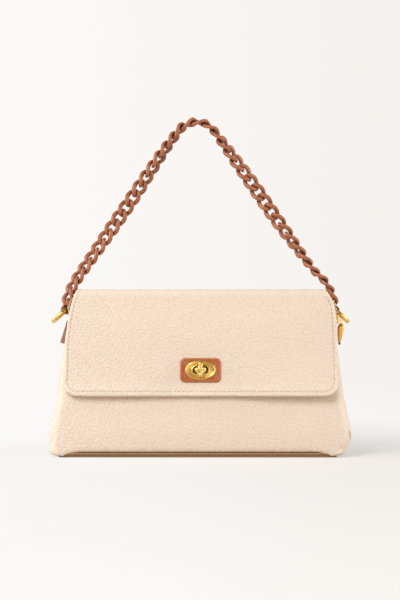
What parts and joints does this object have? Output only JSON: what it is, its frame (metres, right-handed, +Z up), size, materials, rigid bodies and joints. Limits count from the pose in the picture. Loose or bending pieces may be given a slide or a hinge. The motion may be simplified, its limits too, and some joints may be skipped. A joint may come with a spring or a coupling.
{
  "type": "chain shoulder bag",
  "caption": "Flap shoulder bag of pebbled leather with a twist lock, an open-top zip, and a curb chain handle on gated rings at both ends.",
  "frame": {"origin": "on the floor under the middle of the base", "axes": "+Z up, +X to the right as seen from the front, the front with the flap and lock faces -Y"},
  "size_m": [0.2722, 0.0805, 0.3046],
  "materials": {
    "leather": "pebbled, satin",
    "lining": "matte",
    "tan_leather": "smooth, satin",
    "chain": "matte",
    "gold": "polished",
    "board": "matte"
  },
  "bodies": {
    "bag": {"front_panel": "leather", "back_panel": "leather", "base_panel": "leather", "gusset_left": "leather", "gusset_right": "leather", "body_lining": "lining", "base_board": "board", "slip_pocket": "lining", "hinge_strip": "leather", "zip_tape_front": "lining", "zip_tape_back": "lining", "zip_teeth_front": "gold", "zip_teeth_back": "gold", "zip_end_tab": "tan_leather", "lock_base": "gold", "lock_backplate": "gold", "tab_rivet_left": "gold", "tab_rivet_right": "gold"},
    "flap": {"flap_outer": "leather", "flap_lining": "lining", "lock_patch": "tan_leather", "lock_eyelet": "gold", "lock_eyelet_back": "gold"},
    "knob": {"lock_knob": "gold"},
    "chain": {"chain_left": "chain", "chain_right": "chain", "ring_tab_left": "tan_leather", "ring_tab_right": "tan_leather"},
    "ring_left": {"ring_left": "gold", "ring_pin_left": "gold"},
    "ring_right": {"ring_right": "gold", "ring_pin_right": "gold"},
    "gate_left": {"ring_gate_left": "gold"},
    "gate_right": {"ring_gate_right": "gold"},
    "zip_slider": {"zip_slider": "gold"},
    "zip_pull": {"zip_pull": "gold"}
  },
  "joints": [
    {"name": "flap_open", "type": "hinge", "parent": "bag", "child": "flap", "pos_m": [0, 0.0217, 0.1473], "axis": [-1, 0, 0], "range_deg": [0, 150]},
    {"name": "chain_swing", "type": "hinge", "parent": "bag", "child": "chain", "pos_m": [0, 0.012, 0.119], "axis": [-1, 0, 0], "range_deg": [0, 67.5]},
    {"name": "knob_turn", "type": "hinge", "parent": "bag", "child": "knob", "pos_m": [0, -0.02908, 0.077], "axis": [0, -0.9901, 0.1404], "range_deg": [0, 90]},
    {"name": "ring_left_swing", "type": "hinge", "parent": "chain", "child": "ring_left", "pos_m": [-0.12248, 0.0162, 0.13045], "axis": [-0.3727, 0.866, -0.3333], "range_deg": [-4, 6]},
    {"name": "ring_right_swing", "type": "hinge", "parent": "chain", "child": "ring_right", "pos_m": [0.12248, 0.0078, 0.13045], "axis": [0.3727, -0.866, -0.3333], "range_deg": [-4, 6]},
    {"name": "gate_left_open", "type": "hinge", "parent": "ring_left", "child": "gate_left", "pos_m": [-0.13416, 0.01171, 0.12], "axis": [-0.6665, 0, 0.7455], "range_deg": [0, 25], "stiffness_Nm_per_rad": 0.002, "springref_deg": -17.19},
    {"name": "gate_right_open", "type": "hinge", "parent": "ring_right", "child": "gate_right", "pos_m": [0.13416, 0.01229, 0.12], "axis": [0.6665, 0, 0.7455], "range_deg": [0, 25], "stiffness_Nm_per_rad": 0.002, "springref_deg": -17.19},
    {"name": "zip_slide", "type": "slide", "parent": "bag", "child": "zip_slider", "axis": [0, 0, 1], "range_m": [0, 0.0075]},
    {"name": "pull_swing", "type": "hinge", "parent": "zip_slider", "child": "zip_pull", "pos_m": [0.1264, -0.008, 0.1204], "axis": [0, -1, 0], "range_deg": [0, 100]}
  ],
  "couplings": [
    {"joint": "chain_swing", "follows": "flap_open", "ratio": 0.45}
  ]
}
